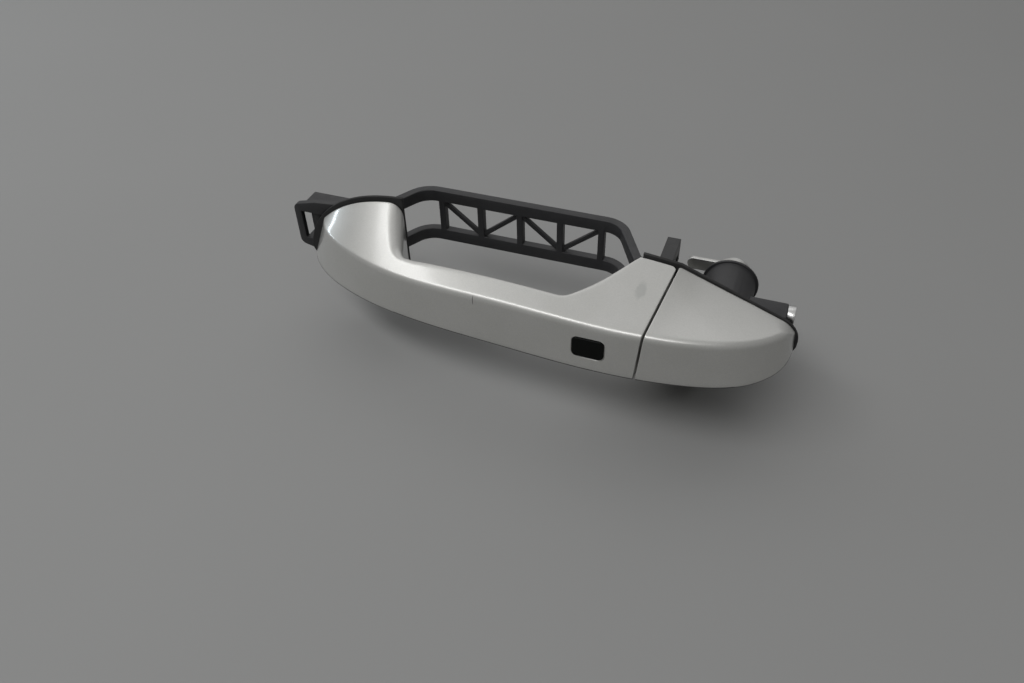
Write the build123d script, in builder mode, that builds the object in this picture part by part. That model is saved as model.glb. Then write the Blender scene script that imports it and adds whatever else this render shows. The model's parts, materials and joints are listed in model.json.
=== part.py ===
"""Exterior pull-type door handle assembly for a front left car door, in millimetres.

+X runs towards the rear of the car, +Y into the door and +Z up. Y = 0 is the inside of the
door skin, where the carrier seats, and the origin is midway between the carrier's two bolts.
"""
import os
from math import cos, hypot, pi, radians, sin

from build123d import *

os.makedirs("parts", exist_ok=True)

# Door sheet, pads and running gaps
skin = 0.8            # sheet metal between carrier and pads
pad_thick = 1.5       # rubber pad under each foot
pad_rim = 0.6         # pad beyond the foot all round
foot_gap = 0.5        # grip foot over its pad
seam_gap = 0.8        # shut gap between grip and cap
pin_gap = 0.05        # radial gap of a bore on its pin
side_gap = 0.5        # moving piece beside a fixed wall
seat_gap = 0.1        # trim piece in its pocket

# Grip and cap, measured from the centre line (heights) and from the door skin (outward)
rise = 28.0           # centre line above the bolt line
ridge = 9.2           # ridge over the centre line
keel = -14.4          # flat underside
seam_height = 19.8    # top of the rear foot at the skin, at the seam
seam_x = 58.6         # seam at the skin, on the centre line
seam_rake = 0.13      # seam's move forward for each millimetre outward
seam_lean = 0.08      # seam's move rearward for each millimetre upward
wall = 2.6            # painted shells
ridge_round = 3.2
lip_round = 2.2       # edge of the finger opening
face_out = 39.5       # face plane's distance outside the skin

# Plan of the outer face, nose to tail, at a low and at a high level
low_level, high_level = keel - 1.6, 27.0
face_crest = 39.0     # furthest point of the outer face
plan_line = [  # x low, out low, x high, out high
    (-119.3, -1.0, -101.5, -1.0),
    (-108.5, 11.9, -98.0, 8.0),
    (-90.0, 22.6, -85.0, 18.5),
    (-60.0, 31.2, -60.0, 29.2),
    (-10.0, 36.5, -10.0, 36.3),
    (34.0, face_crest, 34.0, face_crest),
    (72.0, 36.0, 72.0, 35.8),
    (97.0, 27.2, 94.0, 24.0),
    (108.9, 13.6, 105.2, 8.1),
    (112.0, -1.0, 109.3, -1.0),
]
plan_depth = -8.0     # inboard end of the plan outline

# Elevation: x and height at the skin, then x and height at the face plane
grip_top = [  # seam to nose
    (61.0, seam_height, 53.6, ridge),
    (20.0, 24.0, 20.0, ridge),
    (-20.0, 26.2, -20.0, 7.2),
    (-60.0, 26.6, -60.0, 1.1),
    (-86.0, 23.2, -86.0, -5.0),
    (-106.0, 12.0, -106.0, -9.0),
    (-117.2, -8.8, -117.2, -11.0),
]
cap_end = [  # up the tail, from its foot to the cap's top
    (112.0, -9.7, 112.0, -9.7),
    (111.4, -4.0, 111.6, 1.0),
    (106.5, 1.64, 107.5, 7.4),
]
nose_foot, tail_foot = -112.6, 107.3   # ends of the flat underside

# Finger opening in plan, and the cover let into the strap's inner face
opening = [(-66.0, 0.0), (-57.2, 22.0), (19.0, 26.6), (46.0, 0.0)]
opening_round = 8.0
cover_ends = (-47.0, 13.0)
cover_drop = 0.3

# Request button in the outer face
button_x, button_z = 32.6, -2.3
button_long, button_high, button_round = 13.5, 9.8, 2.2
button_proud, button_deep, button_edge = 0.35, 4.0, 0.5

# Front pivot, a bar of the carrier with the grip's hook round it
pivot_x, pivot_y = -115.0, 6.2
pivot_r = 2.5
hook_wall = 2.5
hook_half = 7.0       # half height of the hook
hook_mouth = 4.2      # opening of the hook, towards the front
arm_x, arm_wide = -94.5, 7.0
arm_root = 6.0        # where the arm starts, outside the skin
arm_sweep = 1.5       # forward travel of the arm where it passes the pad

# Rear leg of the grip
leg_x, leg_wide = 52.5, 6.0
leg_low, leg_high = 6.2, 11.8
leg_root = 12.0       # where the leg starts, outside the skin
lip_y, lip_thick, lip_low = 24.8, 3.5, 0.4

# Bell crank
crank_y, crank_z = 11.5, -25.5
finger_long, finger_r, finger_wide = 29.0, 2.0, 5.0
finger_rest = 22.28   # degrees inboard of upright at rest
hub_r, pin_r = 5.0, 2.5
hub_front, hub_end = 47.5, 69.0
arm_root_r = 4.0      # half width of the finger and the cable arm at the hub
cable_arm_long, cable_arm_thick, cable_eye_r = 15.0, 3.0, 1.6
weight_r, weight_drop, stub_wide = 7.5, 14.0, 6.0
spring_wire, spring_turns, spring_r, spring_lead = 1.6, 3, 6.5, 1.9
spring_x, spring_leg = 57.0, 12.0

# Carrier plates in elevation, and the bridge between them in plan
plate, plate_round = 3.0, 3.5
ear_x, bolt_r, ear_r = 90.0, 3.3, 9.0
ear_boss_r, ear_boss = 6.5, 2.0
front_plate = [(-126, -11), (-126, 11), (-114, 14), (-82, 17), (-82, -17), (-114, -14)]
front_window = (-122.5, -87.5)                # x from, x to
rear_plate = [(40, -34), (40, 17), (61, 17), (107, -2), (107, -13), (98, -25), (98, -34)]
rear_window = (46.0, 58.5, -17.0, 12.8)       # x from, x to, low, high
bridge_line = [(-86.0, 1.5), (-70.0, 30.0), (28.0, 30.0), (43.0, 1.5)]
bridge_thick, bridge_round = 4.0, 12.0
rail_low, rail_high = 8.0, 14.0
rib_wide, rib_count, rib_pitch = 3.0, 5, 20.0
rib_middle = -21.0
brace_wide, brace_thick = 2.2, 2.0
cheek = 2.6
pin_ear = 3.0
gusset = 2.0

# Bracket that holds the release cable's sleeve under the crank
bracket_x, bracket_wide, bracket_low, bracket_thick = 67.5, 13.0, -46.0, 3.0
bracket_reach, bracket_slot = 33.0, 5.0

# Lock cylinder behind the cap, and its fixing screw
lock_x, lock_z = 80.0, -2.8
lock_r, lock_front, lock_back = 8.5, 9.0, 30.0
lock_wall, sleeve_long, collar = 2.5, 20.0, 1.2
keyway_long, keyway_wide, keyway_deep = 9.0, 2.2, 6.0
neck_r, neck_long = 5.0, 2.0
tail_long, tail_wide, tail_thick = 18.0, 6.0, 2.0
screw_r, screw_head_r, screw_head, socket_r = 2.5, 4.5, 3.5, 1.7
boss_y, boss_r, boss_end = plate + 5, 5.0, 106.0
tube_wall = 1.6       # tube of the cap round the lock cylinder

span = 300.0          # longer than the assembly, for trimming blocks


def out(distance):
    """Y of a point that lies this far outside the door skin."""
    return -(skin + distance)


def up(height):
    """Z of a point this far above the handle's centre line."""
    return rise + height


def moved_in(points, amount):
    """Points of a line, each moved by amount to the right of the line's direction there."""
    result = []
    for index, (x, y) in enumerate(points):
        before, after = points[max(index - 1, 0)], points[min(index + 1, len(points) - 1)]
        way_x, way_y = after[0] - before[0], after[1] - before[1]
        share = amount / hypot(way_x, way_y)
        result.append((x + way_y * share, y - way_x * share))
    return result


def plan_outline(level, inset):
    """Plan of the form at the low (0) or high (1) level, inset from its outer face."""
    rows = [(row[2 * level], row[2 * level + 1]) for row in plan_line]
    points = [(x, out(distance)) for x, distance in moved_in(rows, inset)]
    Spline(*points)
    back = out(plan_depth)
    Polyline(points[-1], (points[-1][0], back), (points[0][0], back), points[0])


def elevation_outline(side, inset):
    """Outline of the form at the skin (0) or at the face plane (1), inset all round."""
    low = up(keel + inset)

    def place(rows):
        points = moved_in([(row[2 * side], row[2 * side + 1]) for row in rows], -inset)
        return [(x, max(up(z), low + 1)) for x, z in points]
    top, over = place(grip_top), place(cap_end)
    top_line = Spline(*top)
    TangentArc(top[-1], (nose_foot, low), tangent=top_line % 1)
    Line((nose_foot, low), (tail_foot, low))
    TangentArc((tail_foot, low), over[0], tangent=(1, 0))
    Spline(*over)
    Line(over[-1], top[0])


def lofted_form(inset):
    """Solid between the two elevation outlines, trimmed to the plan of the outer face."""
    with BuildPart() as solid:
        for side, distance in ((0, 0.0), (1, face_out)):
            with BuildSketch(Plane.XZ.offset(skin + distance)):
                with BuildLine():
                    elevation_outline(side, inset)
                make_face()
        loft(ruled=True)
        for level, height in ((0, low_level), (1, high_level)):
            with BuildSketch(Plane.XY.offset(up(height))):
                with BuildLine():
                    plan_outline(level, inset)
                make_face()
        loft(ruled=True, mode=Mode.INTERSECT)
    return solid.part


def seam_plane(shift):
    """Plane of the seam, moved rearward by shift, with its normal towards the rear."""
    origin = (seam_x + shift, out(0), up(0))
    return Plane(origin=origin, x_dir=(seam_rake, 1, 0), z_dir=(1, -seam_rake, -seam_lean))


def opening_outline():
    """Plan of the finger opening, open on the door side."""
    points = [(x, out(distance)) for x, distance in opening]
    FilletPolyline(*points, radius=opening_round)
    Polyline(points[-1], (points[-1][0], out(plan_depth)), (points[0][0], out(plan_depth)),
             points[0])


def strap_band(x_from, x_to, near, far):
    """Plan of a band along the strap, between two depths behind its inner face."""
    (x_1, out_1), (x_2, out_2) = opening[1], opening[2]

    def at(x, depth):
        return (x, out(out_1 + (out_2 - out_1) * (x - x_1) / (x_2 - x_1) + depth))
    Polyline(at(x_from, near), at(x_to, near), at(x_to, far), at(x_from, far), close=True)


def plan_box(x_from, x_to, y_from, y_to, low, high):
    """Block between two X, two Y and two heights over the centre line."""
    size = (x_to - x_from, y_to - y_from, high - low)
    middle = ((x_from + x_to) / 2, (y_from + y_to) / 2, up((low + high) / 2))
    return Pos(*middle) * Box(*size, mode=Mode.PRIVATE)


def strap_block(form, x_from, x_to, near, far):
    """The part of a form inside a band along the strap."""
    with BuildPart(mode=Mode.PRIVATE) as block:
        add(form)
        with BuildSketch(Plane.XY.offset(up(-span / 2))):
            with BuildLine():
                strap_band(x_from, x_to, near, far)
            make_face()
        extrude(amount=span, mode=Mode.INTERSECT)
    return block.part


whole_form = lofted_form(0)
core_form = lofted_form(wall)

with BuildPart() as rounded_form:
    add(whole_form)
    ridge_edges = [
        edge for edge in rounded_form.edges()
        if -3 < edge.center().Z - up(ridge) < 2.5 and edge.center().Y < out(7)
    ]
    fillet(ridge_edges, ridge_round)

foot_face = out(pad_thick + foot_gap)


def grip_form(form, seam_shift, opening_shift):
    """A form trimmed at the seam and at the feet, with the finger opening cut from it."""
    with BuildPart(mode=Mode.PRIVATE) as trimmed:
        add(form)
        split(bisect_by=seam_plane(seam_shift), keep=Keep.BOTTOM)
        add(plan_box(-span, span, foot_face, span, -span, span), mode=Mode.SUBTRACT)
        with BuildSketch(Plane.XY.offset(up(-span / 2))):
            with BuildLine():
                opening_outline()
            make_face()
            if opening_shift:
                offset(amount=opening_shift)
        extrude(amount=span, mode=Mode.SUBTRACT)
    return trimmed.part


# The grip, still in one piece, and the part of it inside its painted walls
with BuildPart() as whole_grip:
    add(grip_form(rounded_form.part, -seam_gap / 2, 0))
    lip_edges = [
        edge for edge in whole_grip.edges()
        if edge.center().Z > up(8) and out(28.5) < edge.center().Y < foot_face - 0.5
        and opening[0][0] - 1 < edge.center().X < opening[-1][0] + 1
    ]
    fillet(lip_edges, lip_round)
grip_core = grip_form(core_form, -seam_gap / 2 - wall, wall)

cover_from, cover_to = cover_ends
cover_window = strap_block(core_form, cover_from, cover_to, -1, wall + 0.5)
cover_block = strap_block(core_form, cover_from + seat_gap, cover_to - seat_gap, cover_drop,
                          wall + 0.5)

button_plane = Plane.XZ.offset(skin + face_crest + button_proud)
leg_end = lip_y + lip_thick
leg_from, leg_to = leg_x - leg_wide / 2, leg_x + leg_wide / 2


def button_block(gap):
    """The request button's block, widened by a gap all round."""
    with BuildPart(mode=Mode.PRIVATE) as block:
        with BuildSketch(button_plane):
            with Locations((button_x, up(button_z))):
                RectangleRounded(button_long + 2 * gap, button_high + 2 * gap, button_round)
        extrude(amount=-(button_deep + button_proud))
    return block.part


with BuildPart() as grip_shell:
    add(whole_grip.part)
    add(grip_core, mode=Mode.SUBTRACT)
    add(cover_window, mode=Mode.SUBTRACT)
    add(button_block(seat_gap), mode=Mode.SUBTRACT)
    add(plan_box(leg_from - seat_gap, leg_to + seat_gap, out(leg_root), 0,
                 leg_low - seat_gap, leg_high + seat_gap), mode=Mode.SUBTRACT)

with BuildPart() as grip_back:
    add(grip_core)
    add(cover_block)
    # Front arm and the hook round the pivot bar
    hook_r = pivot_r + pin_gap + hook_wall
    arm_end = pivot_y + hook_r
    with BuildSketch(Plane.XY.offset(up(-hook_half))):
        with Locations((arm_x, (out(arm_root) + arm_end) / 2)):
            Rectangle(arm_wide, arm_end - out(arm_root))
        with Locations(((pivot_x + arm_x) / 2, arm_end - hook_wall / 2)):
            Rectangle(arm_x - pivot_x, hook_wall)
        with Locations((pivot_x, pivot_y)):
            Circle(hook_r)
            Circle(pivot_r + pin_gap, mode=Mode.SUBTRACT)
        with Locations((pivot_x - hook_r / 2, pivot_y)):
            Rectangle(hook_r, hook_mouth, mode=Mode.SUBTRACT)
    extrude(amount=2 * hook_half)
    # Rear leg with the lip that draws the crank's finger outward
    add(plan_box(leg_from, leg_to, out(leg_root), leg_end, leg_low, leg_high))
    add(plan_box(leg_from, leg_to, lip_y, leg_end, lip_low, leg_high))
    add(button_block(seat_gap), mode=Mode.SUBTRACT)

with BuildPart() as request_button:
    add(button_block(0))
    fillet(request_button.faces().sort_by(Axis.Y)[0].edges(), button_edge)

cap_face = out(pad_thick)


def cap_form(form, seam_shift):
    """A form trimmed to the cap, behind the seam and outside the pad."""
    with BuildPart(mode=Mode.PRIVATE) as trimmed:
        add(form)
        split(bisect_by=seam_plane(seam_shift), keep=Keep.TOP)
        add(plan_box(-span, span, cap_face, span, -span, span), mode=Mode.SUBTRACT)
    return trimmed.part


cap_core = cap_form(core_form, seam_gap / 2 + wall)
with BuildPart(mode=Mode.PRIVATE) as cap_tube:
    with BuildSketch(Plane.XZ.offset(-cap_face)):
        with Locations((lock_x, up(lock_z))):
            Circle(lock_r + seat_gap + tube_wall)
            Circle(lock_r + seat_gap, mode=Mode.SUBTRACT)
    extrude(amount=face_out)
    add(cap_core, mode=Mode.INTERSECT)

with BuildPart() as cap:
    add(cap_form(rounded_form.part, seam_gap / 2))
    add(cap_core, mode=Mode.SUBTRACT)
    add(cap_tube.part)


def pad_plate():
    """The feet's outline at the skin, widened by the rim, as a plate of pad rubber."""
    with BuildPart(mode=Mode.PRIVATE) as whole:
        with BuildSketch(Plane.XZ.offset(skin)):
            with BuildLine():
                elevation_outline(0, -pad_rim)
            make_face()
        extrude(amount=pad_thick)
    return whole.part


arm_hole = (arm_x - arm_wide / 2 - arm_sweep - side_gap, arm_x + arm_wide / 2 + side_gap)
with BuildPart() as front_pad:
    add(pad_plate())
    add(plan_box(opening[0][0] + pad_rim, span, -span, span, -span, span), mode=Mode.SUBTRACT)
    add(plan_box(*arm_hole, -span, span, -hook_half - side_gap, hook_half + side_gap),
        mode=Mode.SUBTRACT)

x_from, x_to, window_low, window_high = rear_window
with BuildPart() as rear_pad:
    add(pad_plate())
    add(plan_box(-span, opening[-1][0] - 2 * pad_rim, -span, span, -span, span),
        mode=Mode.SUBTRACT)
    add(plan_box(x_from + side_gap, x_to, -span, span, keel + 2, window_high), mode=Mode.SUBTRACT)
    with BuildSketch(Plane.XZ.offset(skin)):
        with Locations((lock_x, up(lock_z))):
            Circle(lock_r + seat_gap)
    extrude(amount=pad_thick, mode=Mode.SUBTRACT)


def upright_gusset(x, thick, y_near, y_far, low, high):
    """Triangular web across X: full height at y_near and none at y_far."""
    with BuildPart(mode=Mode.PRIVATE) as web:
        with BuildSketch(Plane.YZ.offset(x - thick / 2)):
            with BuildLine():
                Polyline((y_near, up(low)), (y_far, up(low)), (y_near, up(high)), close=True)
            make_face()
        extrude(amount=thick)
    return web.part


with BuildPart() as carrier:
    for corners in (front_plate, rear_plate):
        with BuildSketch(Plane.XZ):
            with BuildLine():
                FilletPolyline(*[(x, up(height)) for x, height in corners], radius=plate_round,
                               close=True)
            make_face()
        extrude(amount=-plate)
    # Bolt ears, each with a raised boss and two webs
    for side in (-1, 1):
        with BuildSketch(Plane.XZ):
            with Locations((side * ear_x, 0)):
                Circle(ear_r)
            with Locations((side * ear_x, rise / 4)):
                Rectangle(2 * ear_r, rise / 2)
        extrude(amount=-plate)
        with BuildSketch(Plane.XZ.offset(-plate)):
            with Locations((side * ear_x, 0)):
                Circle(ear_boss_r)
        extrude(amount=-ear_boss)
        for web in (-1, 1):
            web_x = side * ear_x + web * (ear_boss_r - gusset / 2)
            add(plan_box(web_x - gusset / 2, web_x + gusset / 2, plate, plate + ear_boss,
                         -rise, -rise / 2))
    # Two rails, the ribs that tie them and the braces between the ribs
    for low in (rail_low, -rail_high):
        with BuildSketch(Plane.XY.offset(up(low))):
            with BuildLine():
                FilletPolyline(*bridge_line, radius=bridge_round)
            trace(line_width=bridge_thick)
        extrude(amount=rail_high - rail_low)
    bridge_y = bridge_line[1][1]
    ribs = [rib_middle + (index - (rib_count - 1) / 2) * rib_pitch for index in range(rib_count)]
    for x in ribs:
        add(plan_box(x - rib_wide / 2, x + rib_wide / 2, bridge_y - bridge_thick / 2,
                     bridge_y + bridge_thick / 2, -rail_low, rail_low))
    with BuildSketch(Plane.XZ.offset(-bridge_y + brace_thick / 2)):
        with BuildLine():
            Polyline(*[(x, up(rail_low * (-1) ** index)) for index, x in enumerate(ribs)])
        trace(line_width=brace_wide)
    extrude(amount=-brace_thick)
    # Cheeks and back of the front pocket, and the bar that the hook turns on
    pocket_back = arm_end + side_gap
    pocket_half = hook_half + side_gap
    for low in (pocket_half, -pocket_half - cheek):
        add(plan_box(*front_window, 0, pocket_back + cheek, low, low + cheek))
    add(plan_box(*front_window, pocket_back, pocket_back + cheek, -pocket_half, pocket_half))
    add(plan_box(*front_window, -1, plate, -pocket_half, pocket_half), mode=Mode.SUBTRACT)
    with BuildSketch(Plane.XY.offset(up(-pocket_half))):
        with Locations((pivot_x, pivot_y)):
            Circle(pivot_r)
    extrude(amount=2 * pocket_half)
    for x in (front_window[0] + gusset / 2, front_window[1] - gusset / 2):
        low = -pocket_half - cheek
        add(upright_gusset(x, gusset, plate, pocket_back, low, low - 5))
    # Window for the leg, and the ears of the crank's pin
    add(plan_box(x_from, x_to, -1, plate + 1, window_low, window_high), mode=Mode.SUBTRACT)
    ear_xs = (hub_front - side_gap - pin_ear, hub_end + side_gap)
    for x in ear_xs:
        with BuildSketch(Plane.YZ.offset(x)):
            with Locations((crank_y, up(crank_z))):
                Circle(hub_r + 1)
            with Locations((crank_y / 2, up(crank_z))):
                Rectangle(crank_y, 2 * hub_r + 2)
        extrude(amount=pin_ear)
        add(upright_gusset(x + pin_ear / 2, pin_ear, plate, crank_y, crank_z + hub_r,
                           crank_z + 3 * hub_r))
    # Bracket for the sleeve of the release cable
    bracket_from, bracket_to = bracket_x - bracket_wide / 2, bracket_x + bracket_wide / 2
    shelf = bracket_low + bracket_thick
    add(plan_box(bracket_from, bracket_to, 0, plate, bracket_low, crank_z))
    add(plan_box(bracket_from, bracket_to, 0, bracket_reach, bracket_low, shelf))
    for x in (bracket_from + gusset / 2, bracket_to - gusset / 2):
        add(upright_gusset(x, gusset, plate, bracket_reach - 8, shelf, shelf + 9))
    cable_y = crank_y + cable_arm_long
    add(plan_box(bracket_x - bracket_slot / 2, bracket_x + bracket_slot / 2,
                 cable_y - bracket_slot / 2, span, bracket_low - 1, shelf + 1),
        mode=Mode.SUBTRACT)
    with BuildSketch(Plane.YZ.offset(hub_front - 10)):
        with Locations((crank_y, up(crank_z))):
            Circle(pin_r + pin_gap)
    extrude(amount=hub_end - hub_front + 20, mode=Mode.SUBTRACT)
    # Sleeve of the lock cylinder with its collar and webs, and the boss of the fixing screw
    sleeve_r = lock_r + seat_gap + lock_wall
    for radius, thick in ((sleeve_r, sleeve_long), (sleeve_r + collar, collar)):
        with BuildSketch(Plane.XZ.offset(thick - plate - sleeve_long)):
            with Locations((lock_x, up(lock_z))):
                Circle(radius)
        extrude(amount=-thick)
    with BuildSketch(Plane.XZ.offset(-plate)):
        with Locations((lock_x, up(lock_z))):
            with PolarLocations(sleeve_r, 4, start_angle=180, angular_range=180):
                Rectangle(2 * lock_wall + 2, gusset)
    extrude(amount=-sleeve_long / 2)
    with BuildSketch(Plane.YZ.offset(lock_x + lock_r)):
        with Locations((boss_y, up(lock_z))):
            Circle(boss_r)
        with Locations((boss_y / 2, up(lock_z))):
            Rectangle(boss_y, 2 * boss_r)
    extrude(amount=boss_end - lock_x - lock_r)
    with BuildSketch(Plane.XZ.offset(1)):
        with Locations((lock_x, up(lock_z))):
            Circle(lock_r + seat_gap)
    extrude(amount=-sleeve_long - plate - 2, mode=Mode.SUBTRACT)
    with BuildSketch(Plane.YZ.offset(lock_x + lock_r - 1)):
        with Locations((boss_y, up(lock_z))):
            Circle(screw_r + pin_gap)
    extrude(amount=span, mode=Mode.SUBTRACT)
    with BuildSketch(Plane.XZ.offset(1)):
        with Locations((-ear_x, 0), (ear_x, 0)):
            Circle(bolt_r)
    extrude(amount=-plate - ear_boss - 2, mode=Mode.SUBTRACT)

with BuildPart() as lock_cylinder:
    with BuildSketch(Plane.XZ.offset(lock_front)):
        with Locations((lock_x, up(lock_z))):
            Circle(lock_r)
    extrude(amount=-(lock_front + lock_back))
    chamfer(lock_cylinder.faces().sort_by(Axis.Y)[0].edges(), gusset / 4)
    with BuildSketch(Plane.XZ.offset(-lock_back)):
        with Locations((lock_x, up(lock_z))):
            Circle(neck_r)
    extrude(amount=-neck_long)
    with BuildSketch(Plane.XZ.offset(lock_front)):
        with Locations((lock_x, up(lock_z))):
            SlotOverall(keyway_long, keyway_wide, rotation=90)
    extrude(amount=-keyway_deep, mode=Mode.SUBTRACT)

with BuildPart() as lock_tail:
    with BuildSketch(Plane.XZ.offset(-lock_back - neck_long)):
        with Locations((lock_x, up(lock_z))):
            Circle(tail_wide)
        with Locations((lock_x - tail_long / 2, up(lock_z))):
            Rectangle(tail_long, tail_wide)
        with Locations((lock_x - tail_long, up(lock_z))):
            Circle(tail_wide / 2)
    extrude(amount=-tail_thick)

with BuildPart() as fixing_screw:
    with BuildSketch(Plane.YZ.offset(lock_x + lock_r + seat_gap)):
        with Locations((boss_y, up(lock_z))):
            Circle(screw_r)
    extrude(amount=boss_end - lock_x - lock_r - seat_gap)
    with BuildSketch(Plane.YZ.offset(boss_end)):
        with Locations((boss_y, up(lock_z))):
            Circle(screw_head_r)
    extrude(amount=screw_head)
    with BuildSketch(Plane.YZ.offset(boss_end + screw_head / 3)):
        with Locations((boss_y, up(lock_z))):
            RegularPolygon(socket_r, 6)
    extrude(amount=screw_head, mode=Mode.SUBTRACT)

with BuildPart() as crank_pin:
    pin_from = ear_xs[0] - 1
    with BuildSketch(Plane.YZ.offset(pin_from)):
        with Locations((crank_y, up(crank_z))):
            Circle(pin_r)
    extrude(amount=ear_xs[1] + pin_ear + 1 - pin_from)
    with BuildSketch(Plane.YZ.offset(pin_from)):
        with Locations((crank_y, up(crank_z))):
            Circle(pin_r + 1)
    extrude(amount=-1)

hub_point = (crank_y, up(crank_z))


def around_hub(distance, angle):
    """Point at this distance from the hub, at an angle inboard of upright."""
    return (crank_y + distance * sin(radians(angle)), up(crank_z) + distance * cos(radians(angle)))


def hub_arm(x, thick, reach, angle, tip_r):
    """Tapered arm of the crank, rounded at its tip."""
    spread = 0.8 * tip_r * 180 / (pi * reach)
    with BuildPart(mode=Mode.PRIVATE) as arm:
        with BuildSketch(Plane.YZ.offset(x)):
            with BuildLine():
                Polyline(around_hub(arm_root_r, angle - 90), around_hub(reach, angle - spread),
                         around_hub(reach, angle + spread), around_hub(arm_root_r, angle + 90),
                         close=True)
            make_face()
            with Locations(around_hub(reach, angle)):
                Circle(tip_r)
        extrude(amount=thick)
    return arm.part


stub_top, stub_foot = crank_z, crank_z - weight_drop + 2
weight_stub = plan_box(leg_x - finger_wide / 2, leg_x + finger_wide / 2, crank_y - stub_wide / 2,
                       crank_y + stub_wide / 2, stub_foot, stub_top)
with BuildPart() as bell_crank:
    with BuildSketch(Plane.YZ.offset(hub_front)):
        with Locations(hub_point):
            Circle(hub_r)
    extrude(amount=hub_end - hub_front)
    add(hub_arm(leg_x - finger_wide / 2, finger_wide, finger_long, finger_rest, finger_r))
    add(hub_arm(hub_end - cable_arm_thick, cable_arm_thick, cable_arm_long, 90, arm_root_r))
    add(weight_stub)
    with BuildSketch(Plane.YZ.offset(hub_front - 1)):
        with Locations(hub_point):
            Circle(pin_r + pin_gap)
        with Locations(around_hub(cable_arm_long, 90)):
            Circle(cable_eye_r)
    extrude(amount=hub_end - hub_front + 2, mode=Mode.SUBTRACT)

with BuildPart() as counterweight:
    with BuildSketch(Plane.YZ.offset(leg_x - leg_wide / 2)):
        with Locations(around_hub(weight_drop, 180)):
            Circle(weight_r)
    extrude(amount=leg_wide)
    add(weight_stub, mode=Mode.SUBTRACT)

with BuildPart() as return_spring:
    with BuildLine() as coil:
        Helix(pitch=spring_lead, height=spring_turns * spring_lead, radius=spring_r,
              center=(spring_x, crank_y, up(crank_z)), direction=(1, 0, 0))
    coil_start = Plane(origin=coil.line @ 0, z_dir=coil.line % 0)
    coil_end = Plane(origin=coil.line @ 1, z_dir=coil.line % 1)
    with BuildSketch(coil_start):
        Circle(spring_wire / 2)
    sweep(path=coil.line)
    # The leg on the crank's side, and the one that bears on the plate
    with BuildSketch(coil_start):
        Circle(spring_wire / 2)
    extrude(amount=-spring_leg)
    with BuildSketch(coil_end):
        Circle(spring_wire / 2)
    extrude(amount=crank_y - plate - seat_gap)

nodes = {
    "grip_shell": grip_shell, "grip_back": grip_back, "request_button": request_button,
    "cap": cap, "front_pad": front_pad, "rear_pad": rear_pad, "carrier": carrier,
    "lock_cylinder": lock_cylinder, "lock_tail": lock_tail, "fixing_screw": fixing_screw,
    "crank_pin": crank_pin, "bell_crank": bell_crank, "counterweight": counterweight,
    "return_spring": return_spring,
}
for name, node in nodes.items():
    node.part.label = name
    export_step(node.part, f"parts/{name}.step")
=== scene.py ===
# %% [markdown]
# A pull handle for a car door: a painted grip, a painted cap behind it, a request button, rubber
# pads, and the black carrier, crank and spring that work it from behind. The CAD model is loaded
# first, and its shapes are never changed. It says where everything is, in metres: +X runs from
# the grip to the cap, +Y inwards and +Z up.

# %% Load the frame
import json
from math import cos, pi, radians, sin, tan

import bmesh
import bpy
import numpy as np
from mathutils import Matrix, Vector


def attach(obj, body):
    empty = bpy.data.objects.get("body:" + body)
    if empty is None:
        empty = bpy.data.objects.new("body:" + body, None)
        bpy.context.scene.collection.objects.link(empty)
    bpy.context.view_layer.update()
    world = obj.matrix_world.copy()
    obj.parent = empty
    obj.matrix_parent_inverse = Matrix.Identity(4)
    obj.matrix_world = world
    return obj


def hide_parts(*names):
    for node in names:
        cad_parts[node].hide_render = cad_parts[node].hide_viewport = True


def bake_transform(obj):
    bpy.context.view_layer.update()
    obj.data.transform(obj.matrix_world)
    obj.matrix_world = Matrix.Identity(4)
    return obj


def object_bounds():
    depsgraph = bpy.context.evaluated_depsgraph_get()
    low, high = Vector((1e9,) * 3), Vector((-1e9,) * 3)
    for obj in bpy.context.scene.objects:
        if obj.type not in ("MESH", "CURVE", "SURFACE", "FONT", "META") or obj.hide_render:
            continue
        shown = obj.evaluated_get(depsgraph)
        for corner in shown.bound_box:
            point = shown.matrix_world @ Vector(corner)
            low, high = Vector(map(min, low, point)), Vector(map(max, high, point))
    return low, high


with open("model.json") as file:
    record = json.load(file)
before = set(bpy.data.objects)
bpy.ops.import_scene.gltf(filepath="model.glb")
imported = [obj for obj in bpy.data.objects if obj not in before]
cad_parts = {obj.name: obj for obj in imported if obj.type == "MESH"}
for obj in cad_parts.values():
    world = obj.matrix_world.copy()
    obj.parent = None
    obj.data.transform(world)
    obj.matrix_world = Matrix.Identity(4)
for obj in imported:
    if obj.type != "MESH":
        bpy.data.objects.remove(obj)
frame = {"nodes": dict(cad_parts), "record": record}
cad_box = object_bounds()
print("CAD box", cad_box)

# %% [markdown]
# The camera comes first, because everything after it is judged through it. It looks down on the
# handle's outer face, a little from the cap's end, and the picture is turned by a degree or two.

# %% Camera
camera_place = (0.0967, -0.2887, 0.2587)
azimuth, elevation, roll = radians(21.25), radians(41.75), radians(-1.65)
sensor_wide, focal_pixels, picture_wide = 36.0, 850.0, 1024
back = Vector((sin(azimuth) * cos(elevation), -cos(azimuth) * cos(elevation), sin(elevation)))
right = (-back).cross(Vector((0, 0, 1))).normalized()
above = right.cross(-back)
turned_right = cos(roll) * right + sin(roll) * above
turned_up = -sin(roll) * right + cos(roll) * above

lens = bpy.data.cameras.new("camera")
lens.sensor_width = sensor_wide
lens.lens = sensor_wide * focal_pixels / picture_wide
lens.clip_start, lens.clip_end = 0.01, 20.0
camera = bpy.data.objects.new("camera", lens)
bpy.context.scene.collection.objects.link(camera)
turn = Matrix((turned_right, turned_up, back)).transposed()
camera.matrix_world = Matrix.Translation(camera_place) @ turn.to_4x4()
bpy.context.scene.camera = camera
print("camera at", camera.location[:], "lens", round(lens.lens, 2))

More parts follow.
